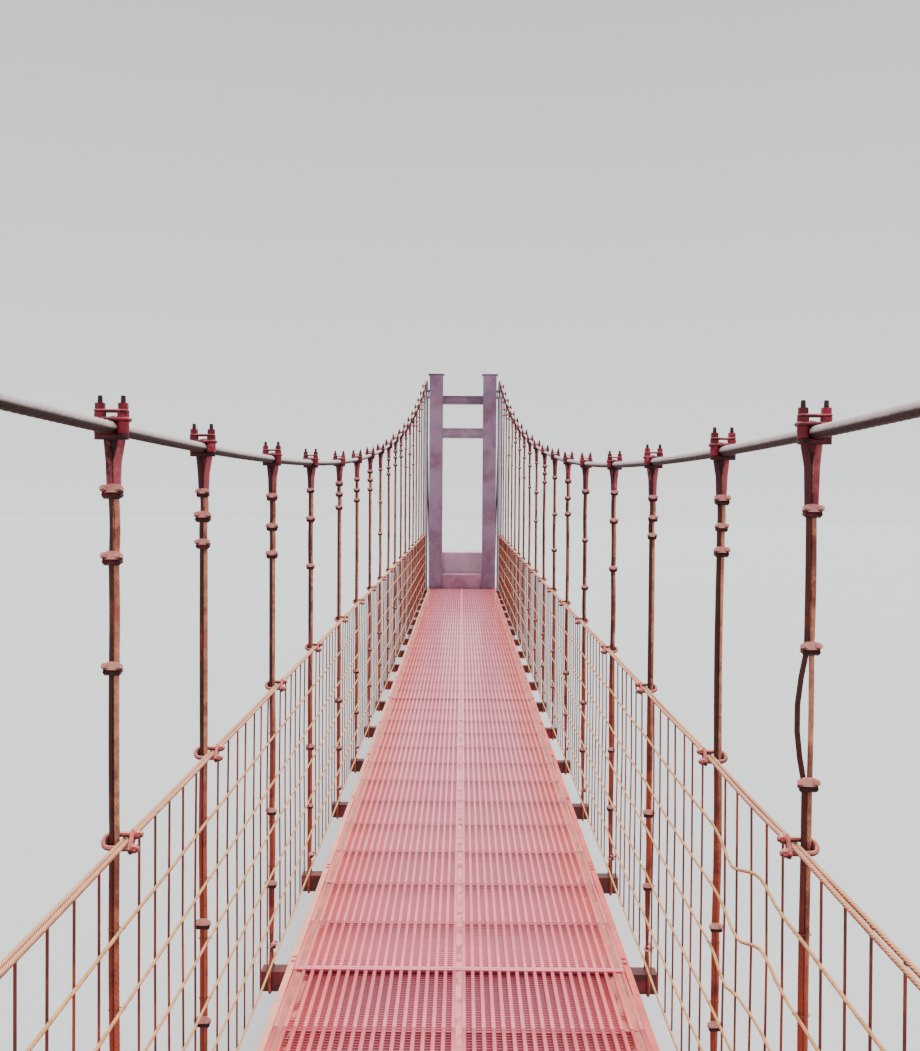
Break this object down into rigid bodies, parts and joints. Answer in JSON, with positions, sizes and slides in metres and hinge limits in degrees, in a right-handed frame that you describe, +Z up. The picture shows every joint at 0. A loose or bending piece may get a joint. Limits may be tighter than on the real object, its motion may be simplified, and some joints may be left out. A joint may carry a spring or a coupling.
{
  "type": "steel rope suspension footbridge",
  "caption": "Narrow suspension footbridge: rope main cables over portal towers, hangers, side wires and a grating walkway between concrete abutments.",
  "frame": {"origin": "on the floor under the middle of the span, halfway between the two sides", "axes": "+Y along the bridge to the far tower, +X to the right-hand side when walking to the far tower, +Z up"},
  "size_m": [2.034, 39.1082, 4.846],
  "materials": {
    "cable_rope": "stranded wire rope, weathered dark brown with a pale upper side",
    "hanger_paint": "red paint over wire rope and clips, rusted and blotched",
    "side_wire": "thin tan-grey wire rope with traces of red paint",
    "deck_frame_paint": "worn red paint, paler along the edges, rust spots",
    "grating_paint": "salmon red paint, faded, damp",
    "tower_paint": "dull dark red paint",
    "galvanised_pipe": "pale grey galvanised pipe",
    "concrete": "rough cast concrete, damp, pinkish grey, with a dark red painted first step"
  },
  "bodies": {
    "root": {"left_main_cable": "cable_rope", "right_main_cable": "cable_rope", "left_hangers_and_rail_near": "hanger_paint", "left_hangers_and_rail_middle": "hanger_paint", "left_hangers_and_rail_far": "hanger_paint", "right_hangers_and_rail_near": "hanger_paint", "right_hangers_and_rail_middle": "hanger_paint", "right_hangers_and_rail_far": "hanger_paint", "left_side_wire_1": "side_wire", "left_side_wire_2": "side_wire", "left_side_wire_3": "side_wire", "left_side_wire_4": "side_wire", "left_side_wire_5": "side_wire", "left_side_wire_6": "side_wire", "right_side_wire_1": "side_wire", "right_side_wire_2": "side_wire", "right_side_wire_3": "side_wire", "right_side_wire_4": "side_wire", "right_side_wire_5": "side_wire", "right_side_wire_6": "side_wire", "deck_frame_near": "deck_frame_paint", "deck_frame_middle": "deck_frame_paint", "deck_frame_far": "deck_frame_paint", "deck_grating_near": "grating_paint", "deck_grating_middle": "grating_paint", "deck_grating_far": "grating_paint", "near_abutment": "concrete", "far_abutment": "concrete", "near_landing_steps": "concrete", "far_landing_steps": "concrete", "near_tower_lintel": "tower_paint", "far_tower_lintel": "tower_paint", "near_tower_top_beam": "tower_paint", "far_tower_top_beam": "tower_paint", "near_left_tower_column": "tower_paint", "near_right_tower_column": "tower_paint", "far_left_tower_column": "tower_paint", "far_right_tower_column": "tower_paint", "near_left_pipe_post": "galvanised_pipe", "near_right_pipe_post": "galvanised_pipe", "far_left_pipe_post": "galvanised_pipe", "far_right_pipe_post": "galvanised_pipe", "near_left_anchor_block": "concrete", "near_right_anchor_block": "concrete", "far_left_anchor_block": "concrete", "far_right_anchor_block": "concrete"}
  },
  "joints": []
}
